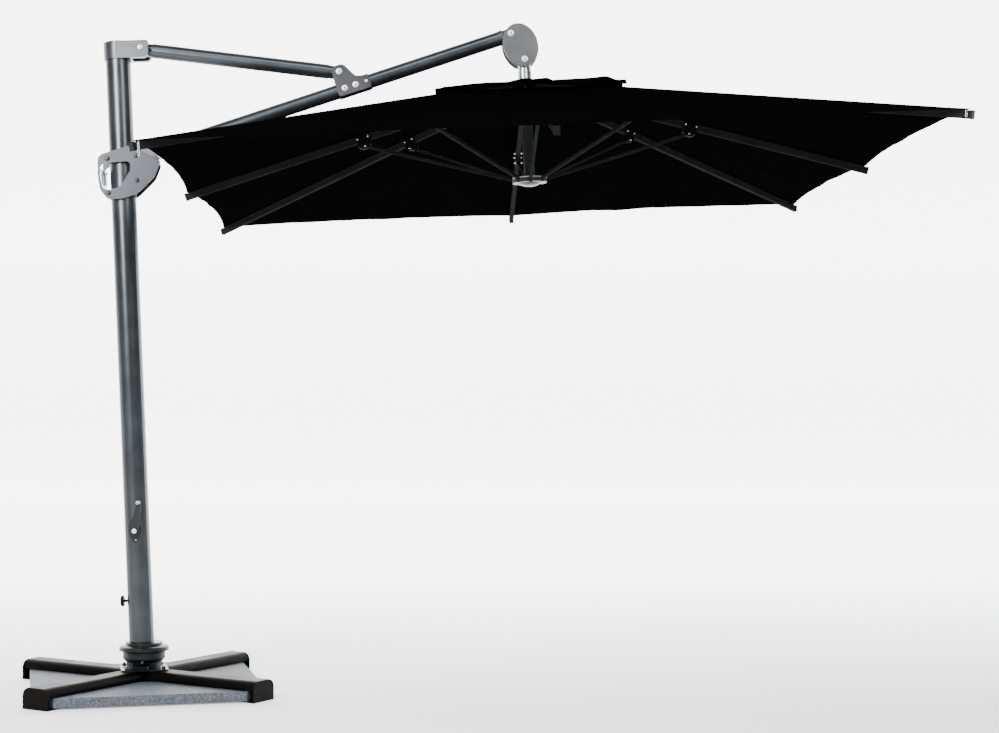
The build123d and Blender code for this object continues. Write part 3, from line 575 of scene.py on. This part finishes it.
def main_sheet(q, v):
    """Point of the main sheet: q round the canopy, v 0 at the vent and 1 at the hem."""
    x, y = perimeter(q)
    gap = between_ribs(q)
    edge = HALF - 0.002 - SCALLOP * gap ** 0.85
    inner = HOLE_HALF + 0.004
    half = inner + (edge - inner) * v
    z = sheet_height(half)
    pull = sin(pi * min(1.0, v * 1.08)) * 0.7 + v * 0.45
    z -= PANEL_SAG * gap ** 2 * pull
    ripple = noise.noise(Vector((x * 9, y * 9, 3.1))) * 0.0035 * gap * (0.3 + v)
    folds = sin(q * 2 * pi * 3 + 5 * noise.noise(Vector((x * 3, y * 3, 1)))) * 0.0016 * gap * v ** 3
    return Vector((x * half, y * half, z + ripple + folds)), edge - half


# Along one side of the vent, 0 to 1: (place, rise of the loose hem).
HEM_RISES = ((0.0, 0.002), (0.045, 0.017), (0.12, 0.013), (0.25, 0.006), (0.46, 0.034), (0.57, 0.040),
             (0.65, 0.012), (0.73, 0.009), (0.88, 0.036), (0.95, 0.02), (1.0, 0.0))


def hem_rise(q):
    """How far the vent's loose hem billows up, along the side that q lies on."""
    side, along = divmod((q + 1) % 8, 2)
    t = along / 2 if side % 2 else 1 - along / 2
    for (t0, rise0), (t1, rise1) in zip(HEM_RISES, HEM_RISES[1:]):
        if t <= t1 + 1e-9:
            share = (1 - cos(pi * (t - t0) / (t1 - t0))) / 2
            return rise0 + (rise1 - rise0) * share
    return 0.0


def vent_sheet(q, v):
    """Point of the raised vent sheet, whose free hem billows."""
    x, y = perimeter(q)
    gap = between_ribs(q)
    corner = exp(-((q % 2 - 1) / VENT_CORNER_SPREAD) ** 2)
    edge = VENT_HALF - 0.003 - 0.016 * gap - VENT_CORNER * corner
    half = VENT_TOP_HALF + (edge - VENT_TOP_HALF) * v
    end_z = sheet_height(edge) + 0.012
    z = VENT_START + (end_z - VENT_START) * v + 0.012 * sin(pi * v)
    ripple = 0.004 * noise.noise(Vector((x * 6, y * 6, 8 + v)))
    z += v ** 2.5 * hem_rise(q) + v * ripple * gap
    return Vector((x * half, y * half, z)), edge - half


def cloth_panel(name, surface, rib, across, up):
    """One panel of cloth from midway before a rib to midway after it, raised a little along its hem."""
    bm = bmesh.new()
    uv = bm.loops.layers.uv.new("cloth")
    grid, flat_place = [], {}
    for i in range(across + 1):
        q = rib - 0.5 + i / across
        column = []
        for j in range(up + 1):
            v = j / up
            p, to_hem = surface(q, v)
            lift = 0.0009 if to_hem < HEM_WIDTH else 0.0
            vert = bm.verts.new(canopy_point(p.x, p.y, p.z + lift))
            flat_place[vert] = (p.x, p.y)
            column.append(vert)
        grid.append(column)
    for i in range(across):
        side = int((rib - 0.5 + (i + 0.5) / across) % 8 + 1) // 2 % 4
        for j in range(up):
            f = bm.faces.new((grid[i][j], grid[i][j + 1], grid[i + 1][j + 1], grid[i + 1][j]))
            for loop in f.loops:
                x, y = flat_place[loop.vert]
                loop[uv].uv = (x, y) if side % 2 else (y, x)
    bm.normal_update()
    flat_area = sum(f.calc_area() for f in bm.faces)
    piece = new_piece(name, bm, ["canopy_cloth"])
    solid = piece.modifiers.new("thickness", "SOLIDIFY")
    solid.thickness = CLOTH_THICK
    solid.offset = 0
    apply_modifiers(piece)
    return piece, flat_area


def tangent_of(k):
    """Direction of a rib's hinge, across the rib."""
    return Vector(JOINTS[f"rib_fold_{k + 1}"]["axis"])


def make_canopy():
    """Eight panels of the main sheet and eight of the vent, each riding on its rib."""
    for k in range(8):
        body = f"rib_{k + 1}"
        sizes = (("canopy_panel", main_sheet, "canopy_fabric", HALF, 40, 60),
                 ("vent_panel", vent_sheet, "vent_fabric", VENT_HALF, 40, 24))
        for name, surface, node, half, across, up in sizes:
            piece, area = cloth_panel(f"{name}_{k + 1}", surface, k, across, up)
            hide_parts(node)
            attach(piece, body)
            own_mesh(piece)


def make_vent_top():
    """Small cone of cloth that closes the vent sheet round the collar."""
    bm = bmesh.new()
    rings, count = [], 64
    for r, z in ((0.098, -0.001), (0.085, 0.006), (0.06, 0.013), (0.040, 0.017), (0.0315, 0.0185)):
        ring = []
        for i in range(count):
            a = 2 * pi * i / count
            flare = 1 + 0.05 * cos(8 * a) if r > 0.05 else 1
            ring.append(bm.verts.new(canopy_point(cos(a) * r * flare, sin(a) * r * flare, VENT_START + z)))
        rings.append(ring)
    for a, b in zip(rings, rings[1:]):
        for i in range(count):
            bm.faces.new((a[i], a[(i + 1) % count], b[(i + 1) % count], b[i]))
    uv = bm.loops.layers.uv.new("cloth")
    for f in bm.faces:
        for loop in f.loops:
            local = canopy_local(loop.vert.co)
            loop[uv].uv = (local.x, local.y)
    area = sum(f.calc_area() for f in bm.faces)
    piece = new_piece("vent_top", bm, ["canopy_cloth"])
    solid = piece.modifiers.new("thickness", "SOLIDIFY")
    solid.thickness = CLOTH_THICK
    solid.offset = 0
    apply_modifiers(piece)
    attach(piece, "canopy")


# ---------------------------------------------------------------- bolts
def dressed_bolt(bm, centre, axis, radius, socket=True):
    """Washer and domed head with a hexagon socket; material 0 is the metal, 1 the socket, a thin dark hexagon on
    the dome that is painted shade for the recess.
    """
    r = radius
    lathe(bm, centre, axis, [(0, r), (0.0009, r), (0.0014, r * 0.96), (0.0016, r * 0.9)])
    lathe(bm, centre, axis, [(0.0016, r * 0.78), (0.0052, r * 0.77), (0.0066, r * 0.7), (0.0076, r * 0.56),
                             (0.0079, r * 0.42)])
    # thin dark hexagon laid on the dome: painted shade where the socket's recess would be
    if socket:
        lathe(bm, Vector(centre) + Vector(axis).normalized() * 0.0001, axis,
              [(0.0078, r * 0.34), (0.00795, r * 0.34)], material_index=1, sides=6)


def loose_parts(node):
    """The vertices of each separate solid in a CAD node, as arrays."""
    mesh = frame["nodes"][node].data
    bm = bmesh.new()
    bm.from_mesh(mesh)
    bmesh.ops.remove_doubles(bm, verts=bm.verts, dist=MERGE)
    seen, groups = set(), []
    for start in bm.verts:
        if start in seen:
            continue
        stack, part = [start], []
        seen.add(start)
        while stack:
            v = stack.pop()
            part.append(v.co.copy())
            for e in v.link_edges:
                other = e.other_vert(v)
                if other not in seen:
                    seen.add(other)
                    stack.append(other)
        groups.append(np.array(part))
    bm.free()
    return groups


HEAD_HEIGHT = 0.008
SHANK_R = 0.008


def bolts_of(node, name, face_material):
    """Dressed heads on a node's bolts: a long one has both and a shank, a short one its outer head only."""
    bm = bmesh.new()
    for part in loose_parts(node):
        low, high = part.min(0), part.max(0)
        centre = (low + high) / 2
        sides = (-1, 1) if high[1] - low[1] > 0.05 else ((-1,) if centre[1] < 0 else (1,))
        for side in sides:
            tip = low[1] if side < 0 else high[1]
            rim = part[np.abs(part[:, 1] - (tip - side * HEAD_HEIGHT)) < 0.0004]
            size = np.ptp(rim[:, 0]) / 2 if len(rim) else (high[0] - low[0]) / 2
            dressed_bolt(bm, (centre[0], tip - side * HEAD_HEIGHT, centre[2]), (0, side, 0), size)
        if len(sides) == 2:
            lathe(bm, (centre[0], low[1] + HEAD_HEIGHT, centre[2]), (0, 1, 0),
                  [(0, SHANK_R), (high[1] - low[1] - 2 * HEAD_HEIGHT, SHANK_R)], steps=24)
    piece = new_piece(name, bm, [face_material, "painted_socket_shade"])
    piece.data.set_sharp_from_angle(angle=TURNED_SHARP)
    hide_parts(node)
    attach(piece, BODY_OF[node])


# ---------------------------------------------------------------- small pieces
RIM_R = 0.0762


def make_runner_dish():
    """Shallow cast dish under the runner."""
    bm = bmesh.new()
    low = min(canopy_local(v.co).z for v in frame["nodes"]["runner_hub"].data.vertices)
    base = canopy_point(0, 0, low - 0.0005)
    lathe(bm, base, -UP, [(0, 0.046), (0.002, 0.0445), (0.006, 0.040), (0.010, 0.032), (0.013, 0.02),
                          (0.0145, 0.006)], steps=48)
    piece = new_piece("runner_dish", bm, ["bracket_metal"])
    piece.data.set_sharp_from_angle(angle=radians(40))
    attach(piece, "runner")


def make_runner_rim():
    """Rolled silver rim round the runner's top."""
    bm = bmesh.new()
    top = max(canopy_local(v.co).z for v in frame["nodes"]["runner_hub"].data.vertices)
    ring = [canopy_point(RIM_R * cos(a), RIM_R * sin(a), top - 0.004)
            for a in (2 * pi * i / 96 for i in range(97))]
    tube_along(bm, ring, 0.0028)
    piece = new_piece("runner_rim", bm, ["neck_silver"])
    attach(piece, "runner")


LINK_PITCH = 0.010
LINK_HALF = (0.0072, 0.0042)            # half height and half width of a link
LINK_WIRE_R = 0.0013


def make_tension_clip(k, name, links):
    """Short chain that holds the sheet's corner to the rib's end, on the rib's near side."""
    bm = bmesh.new()
    x, y = perimeter(k)
    outward = (EAST * x + NORTH * y).normalized()
    beside = outward.cross(UP)
    beside = beside if beside.y < 0 else -beside
    reach = HALF - 0.010
    corner = canopy_point(reach * x, reach * y, sheet_height(HALF) - 0.010) + beside * 0.0165
    for i in range(links):
        centre = corner - UP * (LINK_PITCH * i)
        spin = outward if i % 2 else beside
        turns = (2 * pi * j / 16 for j in range(17))
        loop = [centre + (UP * LINK_HALF[0] * cos(a) + spin * LINK_HALF[1] * sin(a)) for a in turns]
        tube_along(bm, loop, LINK_WIRE_R, steps=8)
    piece = new_piece(name, bm, ["bright_steel"])
    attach(piece, f"rib_{k + 1}")


def make_crank_washer():
    """Bright washer and reddish rivet on the crank's hub."""
    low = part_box("crank_arm")[0]
    hub = Vector(JOINTS["crank_turn"]["pos_m"])
    bm = bmesh.new()
    face = Vector((hub.x, low.y - 0.0002, hub.z))
    lathe(bm, face, (0, -1, 0), [(0, 0.0098), (0.0012, 0.0095), (0.0016, 0.0085)])
    lathe(bm, face + Vector((0, -0.0016, 0)), (0, -1, 0), [(0, 0.0042), (0.001, 0.0036)], material_index=1)
    piece = new_piece("crank_washer", bm, ["bolt_face", "rivet_red"])
    piece.data.set_sharp_from_angle(angle=TURNED_SHARP)
    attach(piece, "crank")


def make_lock_knob_face():
    """Bright pressed face on the lock pin's mushroom knob."""
    out = Vector(JOINTS["lock_pull"]["axis"]).normalized()
    knob = [v.co for v in frame["nodes"]["lock_pin"].data.vertices]
    tip = max(p.dot(out) for p in knob)
    face = [p for p in knob if p.dot(out) > tip - 0.0005]
    centre = sum(face, Vector()) / len(face) + out * 0.0002
    bm = bmesh.new()
    lathe(bm, centre, out, [(0, 0.0195), (0.001, 0.0185), (0.0018, 0.012), (0.0022, 0.004)])
    piece = new_piece("lock_knob_face", bm, ["bright_steel"])
    piece.data.set_sharp_from_angle(angle=TURNED_SHARP)
    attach(piece, "lock_pin")


# ---------------------------------------------------------------- CAD nodes and finished copies
# Bevel width of each node that is drawn again with soft edges.
SOFT_EDGES = {
    "handle_plate_front": 0.0014, "handle_plate_back": 0.0014,
    "head_plate_front": 0.002, "head_plate_back": 0.002,
    "mast_cap": 0.0025, "elbow_bracket": 0.0012, "swivel_housing": 0.0018, "mast_flange": 0.0022,
    "foot_pedal": 0.002, "crank_arm": 0.0018, "crank_knob": 0.0012, "winch_cover": 0.0015, "lock_pin": 0.001,
    "leg_end_caps": 0.0014, "boom_end_fittings": 0.0012, "hanger_neck": 0.0012, "lock_collar": 0.0016,
    "base_bolts": 0.0006, "crown_hub": 0.001, "runner_hub": 0.0014, "handle_grip": 0.001,
    "release_lever": 0.0008,
    **{f"granite_slab_{k}": 0.0026 for k in range(1, 5)},
    **{f"base_leg_{k}": 0.0010 for k in range(1, 5)},
    **{f"rib_{k}": 0.0005 for k in range(1, 9)},
    **{f"rib_strut_{k}": 0.001 for k in range(1, 9)},
}


def dress_cad():
    """Every CAD node in its slot's material, and the ones with soft edges drawn again."""
    for name, node in frame["nodes"].items():
        node.data.materials.clear()
        node.data.materials.append(MATERIALS[SLOT_OF[name]])
    for name, width in SOFT_EDGES.items():
        piece = softened(name, width)
        if name.startswith("rib_") and name[4:].isdigit():
            colour_rib_fittings(piece, int(name[4:]) - 1)


MATERIALS = make_materials()
make_camera()
make_studio()
dress_cad()
bolts_of("head_bolts", "head_bolts_dressed", "bolt_face")
bolts_of("boom_fasteners", "boom_bolts_dressed", "bolt_face")
bolts_of("handle_bolts", "handle_bolts_dressed", "silver_plate")
bolts_of("mast_fasteners", "mast_bolts_dressed", "bolt_face")
make_canopy()
make_vent_top()
make_runner_dish()
make_runner_rim()
make_tension_clip(5, "corner_chain_left", 5)
make_tension_clip(7, "corner_chain_right", 2)
make_crank_washer()
make_lock_knob_face()
